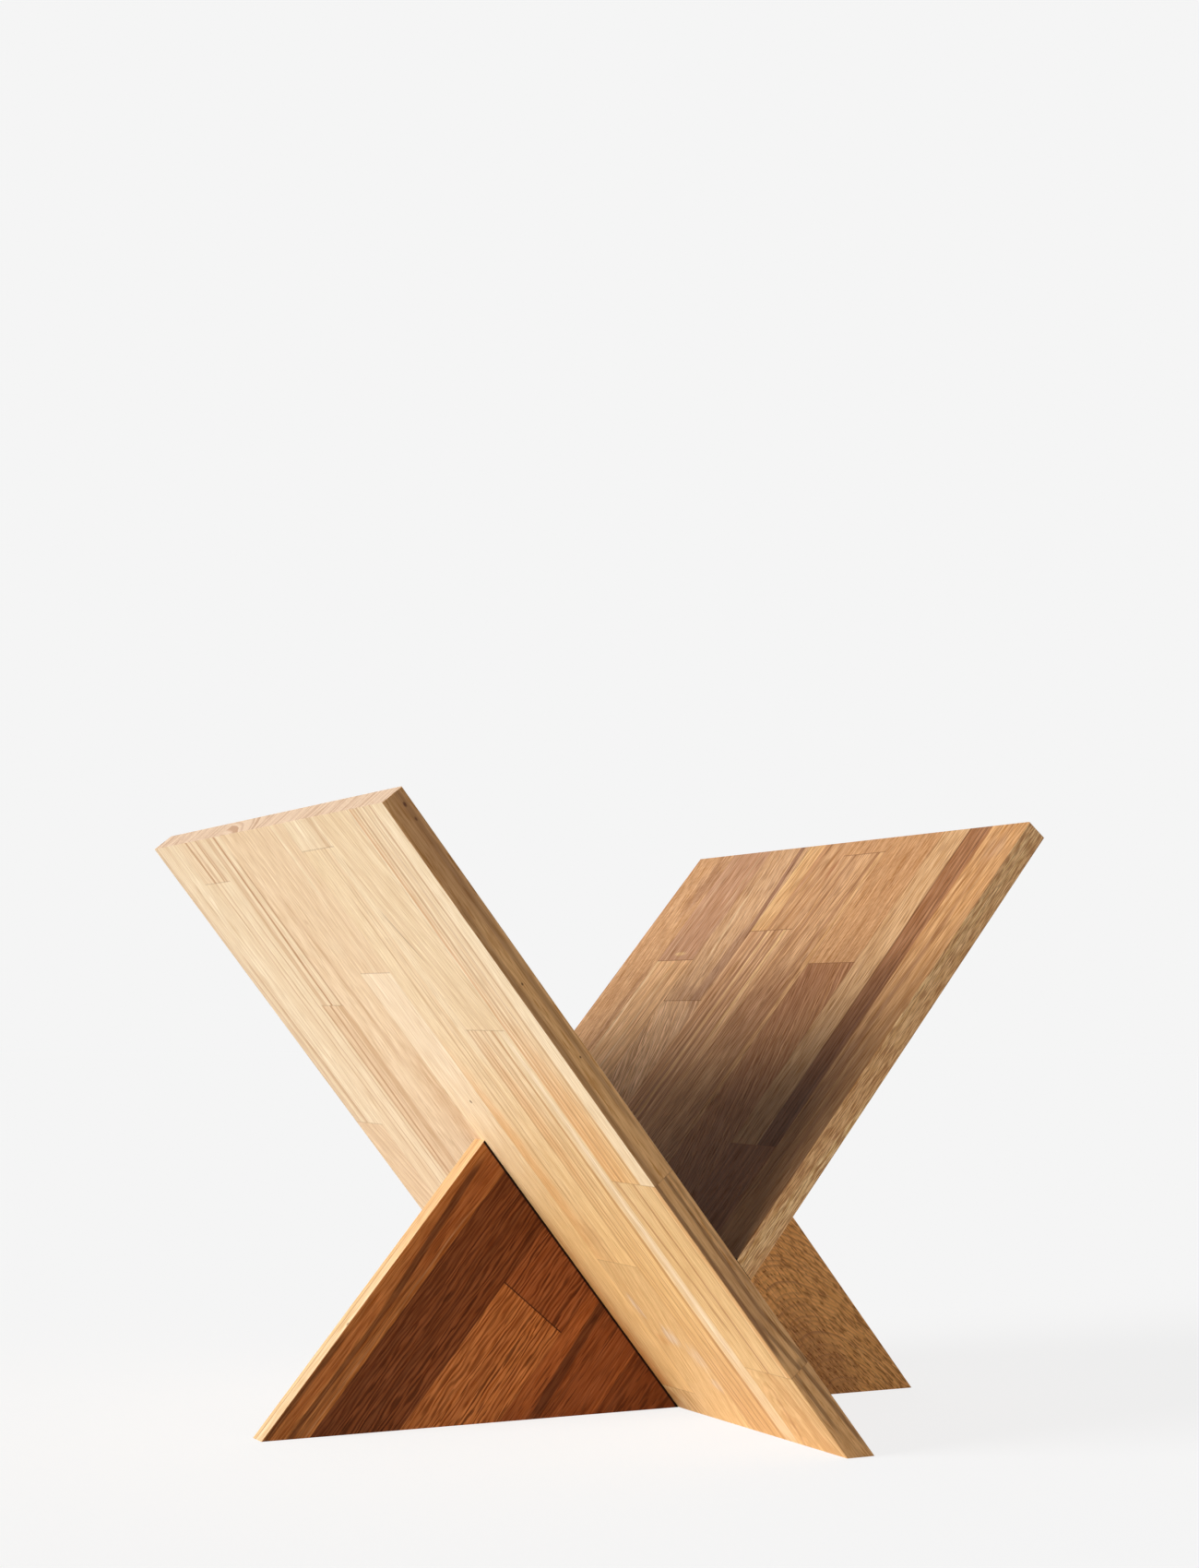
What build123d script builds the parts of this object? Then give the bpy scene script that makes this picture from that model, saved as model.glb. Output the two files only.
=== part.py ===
from build123d import *
import os
from math import cos, radians, sin, tan

# Magazine holder of stave-laminated oak, glued and dowelled, in the shape of a leaning cross.
# A long board leans to the left and stands on the floor over its whole width.
# A short board leans to the right and stands on the long board's upper face.
# Two upright fins at mid-width, one each side of the long board, keep both boards up.
# Magazines stand in the open V between the two boards.
#
# Frame: +X from the long board's top towards the short board's top, +Y across the boards,
# +Z up. The origin is on the floor, at the middle of the whole footprint.

os.makedirs("parts", exist_ok=True)

# Driving dimensions, in millimetres and degrees
WIDTH = 320.0                # across both boards
THICKNESS = 12.0             # every board and fin
LEAN = 50.6                  # every slanting edge, measured up from the floor
FOOTPRINT = 390.0            # whole depth along X
LONG_BOARD_LENGTH = 378.0    # underside of the long board, floor to top end
SHORT_BOARD_HEIGHT = 302.0   # upper edge of the short board above the floor
SHORT_BOARD_REACH = 137.0    # floor distance between the two boards' inner faces, if both met it
LEFT_FIN_REACH = 230.0       # foot of the left fin, from its corner to the long board
TOP_ARRIS = 1.2              # rounding along the boards' upper ends, where a hand reaches in
ARRIS = 0.5                  # rounding of every other edge
FLOOR_CLEAR = 1.0            # edges that lie lower than this, on the floor, stay sharp
TOP_ZONE = 1.0               # depth below a board's upper end that still counts as its end

# Staves of each board: row width, then the distances of its butt joints along the grain.
# Rows of the boards start at the front edge, rows of the fins at their slanting outer edge.
LONG_BOARD_ROWS = (
    (40.0, (49.0, 164.0)),
    (41.0, (253.0,)),
    (40.0, (106.0, 361.0)),
    (37.0, (16.0, 288.0)),
    (53.0, ()),
    (31.0, (268.0,)),
    (40.0, (351.0,)),
    (38.0, (184.0,)),
)
SHORT_BOARD_ROWS = (
    (29.0, ()),
    (41.0, (183.0,)),
    (43.0, (300.0,)),
    (40.0, (380.0,)),
    (43.0, (326.0,)),
    (42.0, (275.0,)),
    (41.0, (306.0,)),
    (41.0, ()),
)
LEFT_FIN_ROWS = (
    (19.0, ()),
    (36.0, ()),
    (42.0, (134.0,)),
    (42.0, ()),
    (42.0, ()),
)
RIGHT_FIN_ROWS = (
    (38.0, ()),
    (40.0, ()),
    (40.0, ()),
)

# Dowels
DOWEL_DIAMETER = 6.0
DOWEL_BLIND = 8.0            # depth in the face of a board
DOWEL_DEEP = 22.0            # depth in the edge of a board or fin
DOWEL_CHAMFER = 0.8
BOARD_DOWELS_Y = (-130.0, -78.0, -26.0, 26.0, 78.0, 130.0)
THROUGH_DOWELS_ALONG = (34.0, 82.0)     # along the long board, through it from fin to fin
LEFT_FIN_DOWEL_ALONG = 138.0            # along the long board, above the right fin
RIGHT_FIN_DOWELS_ALONG = (136.0, 186.0)  # along the short board

# Directions and places worked out from the driving dimensions
C, S, SLOPE = cos(radians(LEAN)), sin(radians(LEAN)), tan(radians(LEAN))
FRONT_Y = -WIDTH / 2
LONG_FOOT_X = LONG_BOARD_LENGTH * C - FOOTPRINT / 2        # underside of the long board at the floor
LONG_UPPER_X = LONG_FOOT_X + THICKNESS / S                 # its upper face at the floor
SHORT_UNDER_X = LONG_UPPER_X - SHORT_BOARD_REACH           # short board's underside, run to the floor
SHORT_INNER_X = SHORT_UNDER_X - THICKNESS / S              # its inner face, run to the floor
LEFT_FIN_X = LONG_FOOT_X - LEFT_FIN_REACH
RIGHT_FIN_X = FOOTPRINT / 2


def crossing(rising_x, falling_x):
    """Point where an edge that rises to the right meets one that rises to the left."""
    half = (falling_x - rising_x) / 2
    return rising_x + half, half * SLOPE


def prism(corners, y_low, y_high):
    """Solid of the XZ outline with these corners, between two Y planes."""
    outline = Polyline([(x, y_low, z) for x, z in corners], close=True)
    return extrude(make_face(outline), amount=y_high - y_low, dir=(0, 1, 0))


def eased(solid, radius_at, above=0.0):
    """Rounds the edges that reach above a height, one radius at a time, largest first."""
    groups = {}
    for edge in solid.edges():
        if edge.bounding_box().max.Z < above:
            continue
        groups.setdefault(radius_at(edge), []).append(edge)
    for radius, edges in sorted(groups.items(), reverse=True):
        if radius:
            solid = fillet(edges, radius=radius)
    return solid


def long_board():
    top_under = (LONG_FOOT_X - LONG_BOARD_LENGTH * C, LONG_BOARD_LENGTH * S)
    top_upper = (top_under[0] + THICKNESS * S, top_under[1] + THICKNESS * C)
    corners = [(LONG_FOOT_X, 0), (LONG_UPPER_X, 0), top_upper, top_under]
    board = prism(corners, FRONT_Y, -FRONT_Y)
    return eased(board, lambda edge: board_arris(edge, top_under[1] - TOP_ZONE), above=FLOOR_CLEAR)


def short_board():
    foot_inner = crossing(SHORT_INNER_X, LONG_UPPER_X)
    foot_under = crossing(SHORT_UNDER_X, LONG_UPPER_X)
    top_inner = (SHORT_INNER_X + SHORT_BOARD_HEIGHT / SLOPE, SHORT_BOARD_HEIGHT)
    top_under = (top_inner[0] + THICKNESS * S, top_inner[1] - THICKNESS * C)
    board = prism([foot_inner, foot_under, top_under, top_inner], FRONT_Y, -FRONT_Y)
    return eased(board, lambda edge: board_arris(edge, top_under[1] - TOP_ZONE))


def left_fin():
    apex = crossing(LEFT_FIN_X, LONG_FOOT_X)
    fin = prism([(LEFT_FIN_X, 0), (LONG_FOOT_X, 0), apex], -THICKNESS / 2, THICKNESS / 2)
    return eased(fin, fin_arris, above=FLOOR_CLEAR)


def right_fin():
    inner_top = crossing(SHORT_UNDER_X, LONG_UPPER_X)
    outer_top = crossing(SHORT_UNDER_X, RIGHT_FIN_X)
    corners = [(LONG_UPPER_X, 0), (RIGHT_FIN_X, 0), outer_top, inner_top]
    fin = prism(corners, -THICKNESS / 2, THICKNESS / 2)
    return eased(fin, fin_arris, above=FLOOR_CLEAR)


def runs_across(edge):
    size = edge.bounding_box().size
    return size.Y > size.X + size.Z


def board_arris(edge, top_z):
    """Rounding of a board's edge: more along its upper end."""
    return TOP_ARRIS if runs_across(edge) and edge.center().Z > top_z else ARRIS


def fin_arris(edge):
    """Rounding of a fin's edge: none at its corners."""
    return 0 if runs_across(edge) else ARRIS


# Grain frames: local x across the rows, local y along the grain, local z through the thickness
LONG_FRAME = Plane(origin=(LONG_FOOT_X, FRONT_Y, 0), x_dir=(0, 1, 0), z_dir=(S, 0, C))
SHORT_FRAME = Plane(origin=(SHORT_INNER_X, FRONT_Y, 0), x_dir=(0, 1, 0), z_dir=(S, 0, -C))
LEFT_FRAME = Plane(origin=(LEFT_FIN_X, THICKNESS / 2, 0), x_dir=(S, 0, -C), z_dir=(0, -1, 0))
RIGHT_FRAME = Plane(origin=(RIGHT_FIN_X, -THICKNESS / 2, 0), x_dir=(-S, 0, -C), z_dir=(0, 1, 0))

POSITION_WORDS = {1: ("",), 2: ("_lower", "_upper"), 3: ("_lower", "_middle", "_upper")}
BEYOND = 60.0         # how far a cutting block runs past the board
LEAST_CUT = 0.01      # cubic millimetres: less than this of a dowel in a stave is no hole


def staves(board, frame, rows, name):
    """Cuts a board into its glued staves: one solid per stave, by name."""
    found = {}
    across = 0.0
    for number, (width, joints) in enumerate(rows, start=1):
        low = across - (BEYOND if number == 1 else 0)
        across += width
        high = across + (BEYOND if number == len(rows) else 0)
        cuts = (-BEYOND, *joints, LONG_BOARD_LENGTH + BEYOND)
        for word, start, end in zip(POSITION_WORDS[len(joints) + 1], cuts, cuts[1:]):
            block = Box(high - low, end - start, 3 * THICKNESS, align=Align.MIN)
            block = frame * Pos(low, start, -THICKNESS) * block
            found[f"{name}_stave_{number}{word}"] = board & block
    return found


def dowel(start, direction, length):
    """Round peg with eased ends, from a start point along a direction."""
    peg = Cylinder(DOWEL_DIAMETER / 2, length, align=(Align.CENTER, Align.CENTER, Align.MIN))
    peg = chamfer(peg.edges().filter_by(GeomType.CIRCLE), DOWEL_CHAMFER)
    return Plane(origin=start, z_dir=direction) * peg


def board_dowels():
    """Pegs in the foot of the short board, along its grain, into the long board's upper face."""
    middle_x = (SHORT_INNER_X + SHORT_UNDER_X) / 2
    x, z = crossing(middle_x, LONG_UPPER_X)
    start = (x - DOWEL_BLIND * C, z - DOWEL_BLIND * S)
    length = DOWEL_BLIND + DOWEL_DEEP
    return [dowel((start[0], y, start[1]), (C, 0, S), length) for y in BOARD_DOWELS_Y]


def fin_through_dowels():
    """Pegs square through the long board, from the left fin into the right fin."""
    pegs = []
    for along in THROUGH_DOWELS_ALONG:
        x = LONG_FOOT_X - along * C - DOWEL_DEEP * S
        z = along * S - DOWEL_DEEP * C
        pegs.append(dowel((x, 0, z), (S, 0, C), 2 * DOWEL_DEEP + THICKNESS))
    return pegs


def left_fin_dowels():
    x = LONG_FOOT_X - LEFT_FIN_DOWEL_ALONG * C - DOWEL_DEEP * S
    z = LEFT_FIN_DOWEL_ALONG * S - DOWEL_DEEP * C
    return [dowel((x, 0, z), (S, 0, C), DOWEL_DEEP + DOWEL_BLIND)]


def right_fin_dowels():
    """Pegs in the top edge of the right fin, into the underside of the short board."""
    pegs = []
    for along in RIGHT_FIN_DOWELS_ALONG:
        x = SHORT_UNDER_X + along * C + DOWEL_DEEP * S
        z = along * S - DOWEL_DEEP * C
        pegs.append(dowel((x, 0, z), (-S, 0, C), DOWEL_DEEP + DOWEL_BLIND))
    return pegs


def write(name, solids):
    node = Compound(children=solids) if len(solids) > 1 else solids[0]
    export_step(node, f"parts/{name}.step")


pieces = {}
pieces.update(staves(long_board(), LONG_FRAME, LONG_BOARD_ROWS, "long_board"))
pieces.update(staves(short_board(), SHORT_FRAME, SHORT_BOARD_ROWS, "short_board"))
pieces.update(staves(left_fin(), LEFT_FRAME, LEFT_FIN_ROWS, "left_fin"))
pieces.update(staves(right_fin(), RIGHT_FRAME, RIGHT_FIN_ROWS, "right_fin"))

dowels = {
    "board_dowels": board_dowels(),
    "fin_through_dowels": fin_through_dowels(),
    "left_fin_dowel": left_fin_dowels(),
    "right_fin_dowels": right_fin_dowels(),
}
pegs = [peg for group in dowels.values() for peg in group]

for name, stave in pieces.items():
    for peg in pegs:
        if (stave & peg) and (stave & peg).volume > LEAST_CUT:
            stave = stave - peg
    write(name, stave.solids())
for name, group in dowels.items():
    write(name, group)
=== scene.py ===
import math

import bmesh
import bpy
from mathutils import Matrix, Vector

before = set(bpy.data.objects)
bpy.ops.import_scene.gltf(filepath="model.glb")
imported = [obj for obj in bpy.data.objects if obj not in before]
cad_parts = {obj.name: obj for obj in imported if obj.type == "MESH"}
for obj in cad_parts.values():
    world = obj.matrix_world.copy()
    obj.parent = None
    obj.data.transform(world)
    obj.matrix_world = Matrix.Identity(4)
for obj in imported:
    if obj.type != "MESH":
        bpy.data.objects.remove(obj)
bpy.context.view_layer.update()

# Magazine holder of solid oak: two leaning boards and two upright fins, each glued up from short staves.
# Every stave gets its own piece of oak: growth rings round a heart, pores and fibres along the grain,
# and veins and stains, most as the real stave shows them; some patches, the boards' fades and the dark
# seam gaps are painted light and shade. The pattern is solid, so that the faces, the sawn edges and the
# end grain of a stave agree.

# Driving dimensions of the holder, in metres
WIDTH = 0.320
THICKNESS = 0.012
LEAN = math.radians(50.6)       # of the boards and of the fins' outer edges, to the floor
FOOTPRINT = 0.390
LONG_BOARD_LENGTH = 0.378
SHORT_BOARD_REACH = 0.137
LEFT_FIN_REACH = 0.230

COS_LEAN = math.cos(LEAN)
SIN_LEAN = math.sin(LEAN)

# Where the planes of the boards' faces and the fins' outer edges meet the floor
LONG_FOOT_X = LONG_BOARD_LENGTH * COS_LEAN - FOOTPRINT / 2
LONG_UPPER_X = LONG_FOOT_X + THICKNESS / SIN_LEAN
SHORT_UNDER_X = LONG_UPPER_X - SHORT_BOARD_REACH
SHORT_INNER_X = SHORT_UNDER_X - THICKNESS / SIN_LEAN
LEFT_FIN_X = LONG_FOOT_X - LEFT_FIN_REACH
RIGHT_FIN_X = FOOTPRINT / 2

MM = 0.001


def tone(red, green, blue):
    """Linear colour of an 8-bit screen tone."""
    def linear(v):
        v /= 255
        return v / 12.92 if v <= 0.04045 else ((v + 0.055) / 1.055) ** 2.4
    return (linear(red), linear(green), linear(blue), 1.0)


# Oak tones, light to dark
PEARL = tone(254, 231, 198)
IVORY = tone(250, 226, 189)
CREAM = tone(242, 216, 174)
ROSE = tone(242, 210, 170)
STRAW = tone(238, 208, 162)
BUTTER = tone(246, 206, 144)
HONEY = tone(235, 196, 138)
CORN = tone(250, 187, 114)
MANGO = tone(246, 184, 116)
APRICOT = tone(226, 181, 138)
PEACH = tone(226, 178, 130)
BLUSH = tone(214, 178, 140)
ALMOND = tone(216, 170, 126)
MAIZE = tone(216, 168, 115)
GOLD = tone(232, 164, 92)
FAWN = tone(206, 162, 120)
BISCUIT = tone(206, 162, 116)
WHEAT = tone(205, 157, 112)
TOFFEE = tone(208, 156, 98)
GINGER = tone(207, 155, 103)
SAND = tone(196, 152, 114)
TAWNY = tone(198, 148, 102)
OCHRE = tone(206, 140, 82)
MUSHROOM = tone(188, 142, 108)
HAZEL = tone(192, 140, 97)
AMBER = tone(206, 134, 72)
CARAMEL = tone(184, 128, 80)
BRONZE = tone(190, 122, 66)
TAN = tone(176, 122, 82)
COPPER = tone(190, 118, 64)
RUSSET = tone(190, 112, 58)
NUT = tone(158, 110, 74)
PLUM = tone(140, 96, 74)
SIENNA = tone(142, 92, 62)
HENNA = tone(154, 88, 48)
CHESTNUT = tone(150, 82, 42)
SADDLE = tone(138, 77, 41)
CLAY = tone(131, 73, 38)
BRICK = tone(132, 70, 36)
MAHOGANY = tone(128, 68, 36)
UMBER = tone(108, 68, 44)
COCOA = tone(78, 44, 26)
SMOKE = tone(58, 38, 32)

# Tones laid over the oak
# painted shade: tint that darkens the short board low in the V between the boards
V_SHADE = tone(191, 190, 193)
CHALK = tone(232, 216, 198)
GLUE = tone(124, 80, 48)
# painted shade in the narrow gaps at the seams
SEAM_SHADE = tone(22, 12, 8)

WARMTH = (0.75, 1.05, 1.5)      # how far red, green and blue follow a change of shade
WOOD_IOR = 1.5
SEED_SHIFT = (17.3, 5.9, 11.1)      # how far a step of the seed moves a pattern in its noise


class Value:
    """A number in a material: a socket, on which arithmetic adds Math nodes."""

    def __init__(self, finish, socket):
        self.finish = finish
        self.socket = socket

    def math(self, operation, *others):
        inputs = dict(enumerate((self, *others)))
        return self.finish.value("ShaderNodeMath", {"operation": operation}, inputs)

    def __add__(self, other):
        return self.math("ADD", other)

    def __radd__(self, other):
        return self.math("ADD", other)

    def __sub__(self, other):
        return self.math("SUBTRACT", other)

    def __rsub__(self, other):
        return self.finish.value("ShaderNodeMath", {"operation": "SUBTRACT"}, {0: other, 1: self})

    def __mul__(self, other):
        return self.math("MULTIPLY", other)

    def __rmul__(self, other):
        return self.math("MULTIPLY", other)

    def __truediv__(self, other):
        return self.math("DIVIDE", other)

    def size(self):
        return self.math("ABSOLUTE")

    def rise(self, low, high):
        """0 below low, 1 above high, smooth between."""
        settings = {"interpolation_type": "SMOOTHSTEP"}
        inputs = {"Value": self, "From Min": low, "From Max": high}
        return self.finish.value("ShaderNodeMapRange", settings, inputs)

    def fall(self, low, high):
        """1 below low, 0 above high, smooth between."""
        return 1 - self.rise(low, high)


class Pattern:
    """A noise in the wood: its scale across, along and through the grain, per millimetre."""

    def __init__(self, scale, start, detail=2.0, roughness=0.5):
        self.scale = scale
        self.start = start          # each pattern's own, so that the patterns of a stave differ
        self.detail = detail
        self.roughness = roughness


class Finish:
    """A material or a world, and the nodes that draw it."""

    def __init__(self, owner):
        owner.use_nodes = True
        self.owner = owner
        self.tree = owner.node_tree
        self.tree.nodes.clear()

    def node(self, kind, settings=None, inputs=None):
        """Adds a node: its settings first, then the values or links of its sockets."""
        node = self.tree.nodes.new(kind)
        for name, setting in (settings or {}).items():
            setattr(node, name, setting)
        for name, value in (inputs or {}).items():
            if isinstance(value, Value):
                value = value.socket
            if isinstance(value, bpy.types.NodeSocket):
                self.tree.links.new(value, node.inputs[name])
            else:
                node.inputs[name].default_value = value
        return node

    def value(self, kind, settings=None, inputs=None, output=0):
        """Number that a new node gives."""
        return Value(self, self.node(kind, settings, inputs).outputs[output])

    def vector(self, operation, first, second=(0, 0, 0)):
        """Number that a Vector Math node makes of two vectors."""
        inputs = {0: first, 1: tuple(second)}
        return self.value("ShaderNodeVectorMath", {"operation": operation}, inputs, "Value")

    def mix(self, share, first, second, blend="MIX"):
        """Colour between two colours, or between one and its product with the other."""
        settings = {"data_type": "RGBA", "blend_type": blend}
        return self.node("ShaderNodeMix", settings, {0: share, 6: first, 7: second}).outputs[2]

    def shaded(self, colour, change):
        """Colour made lighter or darker by a share; dark grain turns warmer, and light grain paler."""
        share = self.node("ShaderNodeVectorMath", {"operation": "SCALE"}, {0: WARMTH, "Scale": change})
        inputs = {0: colour, 1: share.outputs[0], 2: colour}
        return self.node("ShaderNodeVectorMath", {"operation": "MULTIPLY_ADD"}, inputs).outputs[0]

    def placed(self, vector, location=(0, 0, 0), rotation=(0, 0, 0), scale=(1, 1, 1)):
        """Vector moved, turned and scaled."""
        inputs = {"Vector": vector, "Location": location, "Rotation": rotation, "Scale": scale}
        return self.node("ShaderNodeMapping", {}, inputs).outputs[0]

    def turned(self, vector, degrees):
        """Vector turned in the plane of a board's face."""
        return self.placed(vector, rotation=(0, 0, math.radians(degrees)))

    def noise(self, vector, pattern, seed=0.0):
        """A pattern's noise, from 0 to 1."""
        start = seed + pattern.start
        shifted = self.placed(vector, tuple(start * step for step in SEED_SHIFT), scale=pattern.scale)
        inputs = {"Vector": shifted, "Scale": 1.0, "Detail": pattern.detail, "Roughness": pattern.roughness}
        return self.value("ShaderNodeTexNoise", {}, inputs)

    def surface(self, colour, roughness, height, depth, gloss):
        """Ends the material with one shader, whose relief is a height from 0 to 1 times a depth."""
        relief = self.node("ShaderNodeBump", {}, {"Height": height, "Distance": depth})
        inputs = {"Base Color": colour, "Roughness": roughness, "Normal": relief.outputs[0],
                  "IOR": WOOD_IOR, "Specular IOR Level": gloss}
        shader = self.node("ShaderNodeBsdfPrincipled", {}, inputs)
        self.node("ShaderNodeOutputMaterial", {}, {"Surface": shader.outputs[0]})
        return self.owner


# All that is drawn in the oak has its lengths in millimetres

STAIN_DEPTH = 12.0      # at which a stain in a face has died out


class Grain:
    """A board's grain frame: x across its rows, y along the grain, z through it."""

    def __init__(self, origin, across, along):
        self.origin = Vector(origin)
        self.across = Vector(across)
        self.along = Vector(along)
        self.through = self.across.cross(self.along)
        self.turn = Matrix((self.across, self.along, self.through))

    def mapping(self):
        """Location, rotation and scale that bring object coordinates into the grain frame."""
        location = -(self.turn @ self.origin) / MM
        return tuple(location), tuple(self.turn.to_euler()), (1 / MM, 1 / MM, 1 / MM)

    def extent(self, piece):
        """Lowest and highest corner of a piece in the grain frame."""
        points = [self.turn @ (v.co - self.origin) / MM for v in piece.data.vertices]
        low = Vector([min(p[i] for p in points) for i in range(3)])
        high = Vector([max(p[i] for p in points) for i in range(3)])
        return low, high


class Vein:
    """A line of darker or paler wood between two points of a board: (across, along)."""

    def __init__(self, start, end, width, colour, amount, soft=0.9):
        self.start, self.end = sorted((start, end), key=lambda point: point[1])
        self.width = width
        self.colour = colour
        self.amount = amount
        self.soft = soft            # width of its soft border


class Patch:
    """A patch round a point of a board: (across, along), with a radius each way; a stain in the wood, or
    painted light or shade.
    """

    def __init__(self, centre, radii, colour, amount, ragged=1.4, depth=STAIN_DEPTH):
        self.centre = centre
        self.radii = radii
        self.colour = colour
        self.amount = amount
        self.ragged = ragged
        self.depth = depth


class Fade:
    """A change of colour along a board, painted light or painted shade, which leans across it by lean times
    the distance across.
    """

    def __init__(self, colour, none_at, full_at, lean, amount, blend="MIX"):
        self.colour = colour
        self.none_at = none_at
        self.full_at = full_at
        self.lean = lean
        self.amount = amount
        self.blend = blend          # MULTIPLY darkens the lines and veins as well


class Look:
    """What one stave shows. Strengths run from 0 to about 1."""

    def __init__(self, early, late, rings=4.0, turn=20.0, far=90.0, slant=0.0, arch=0.0, wander=1.0,
                 lines=0.6, figure=0.4, pores=0.4, dash=(2.2, 24.0), dash_slant=0.0, ridges=0.0,
                 streaks=0.6, flecks=0.0, fleck_slant=25.0, fade=1.0, veins=(), patches=(),
                 edge_veins=(), edge_stains=()):
        self.early = early          # tone of the early wood
        self.late = late            # tone of the late wood
        self.rings = rings          # width of a growth ring
        self.turn = turn            # where the heart lies, in degrees: 0 beside the stave, 90 under it
        self.far = far              # distance of the heart
        self.slant = slant          # sideways run of the grain, per length
        self.arch = arch            # run of the grain through the board, per length
        self.wander = wander        # how much the grain wanders
        self.lines = lines          # how strongly the late wood shows
        self.figure = figure        # fine light and dark lines along the grain
        self.pores = pores          # dark dashes
        self.dash = dash            # their spacing across and along the grain
        self.dash_slant = dash_slant        # how far they turn from the grain, in degrees
        self.ridges = ridges        # how regular their rows are
        self.streaks = streaks      # broad light and dark streaks
        self.flecks = flecks        # short slanted marks
        self.fleck_slant = fleck_slant      # in degrees
        self.fade = fade            # share of the board's fade
        self.veins = veins
        self.patches = patches
        self.edge_veins = edge_veins        # on the sawn edge: (through, along)
        self.edge_stains = edge_stains

    def dashes(self, cells, start, detail=2.0):
        """Pattern with so many cells of noise to a dash's spacing, and to its length."""
        across, along = (count / size for count, size in zip(cells, self.dash))
        return Pattern((across, along, across), start, detail)


class Board:
    """A board's grain frame, its staves, and how its edges, ends, pores and joints look."""

    def __init__(self, name, grain, looks, edge, end, pore, glue, row_glue, butt_glue, gloss,
                 shown_face=0.0, fade=None, seams=(), speckle=None, edge_rings=0.7, texture=1.0,
                 mottle=1.0, open_pores=1.0):
        self.name = name
        self.grain = grain
        self.looks = looks
        self.edge = edge            # early and late tone of the sawn edge
        self.end = end              # early and late tone of the end grain
        self.pore = pore            # tone of the pores
        self.glue = glue            # tone of the glue lines
        self.row_glue = row_glue    # strength of the glue line between rows
        self.butt_glue = butt_glue          # and between two staves of a row
        self.gloss = gloss
        self.shown_face = shown_face        # where its stains lie, through the board
        self.fade = fade
        # the gaps at the seams are darkened with painted shade
        self.seams = seams          # faces of other boards: point, normal, width and strength of the gap
        self.speckle = speckle      # short dark flecks on the sawn edge: tone and strength
        self.edge_rings = edge_rings        # how strongly the late wood shows on the sawn edge
        self.texture = texture      # strength of the fine grain
        self.mottle = mottle        # strength of broad streaks and clouds
        self.open_pores = open_pores        # strength of the pores


LONG = Grain((LONG_FOOT_X, -WIDTH / 2, 0), (0, 1, 0), (-COS_LEAN, 0, SIN_LEAN))
SHORT = Grain((SHORT_INNER_X, -WIDTH / 2, 0), (0, 1, 0), (COS_LEAN, 0, SIN_LEAN))
LEFT = Grain((LEFT_FIN_X, THICKNESS / 2, 0), (SIN_LEAN, 0, -COS_LEAN), (COS_LEAN, 0, SIN_LEAN))
RIGHT = Grain((RIGHT_FIN_X, -THICKNESS / 2, 0), (-SIN_LEAN, 0, -COS_LEAN), (-COS_LEAN, 0, SIN_LEAN))

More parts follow.
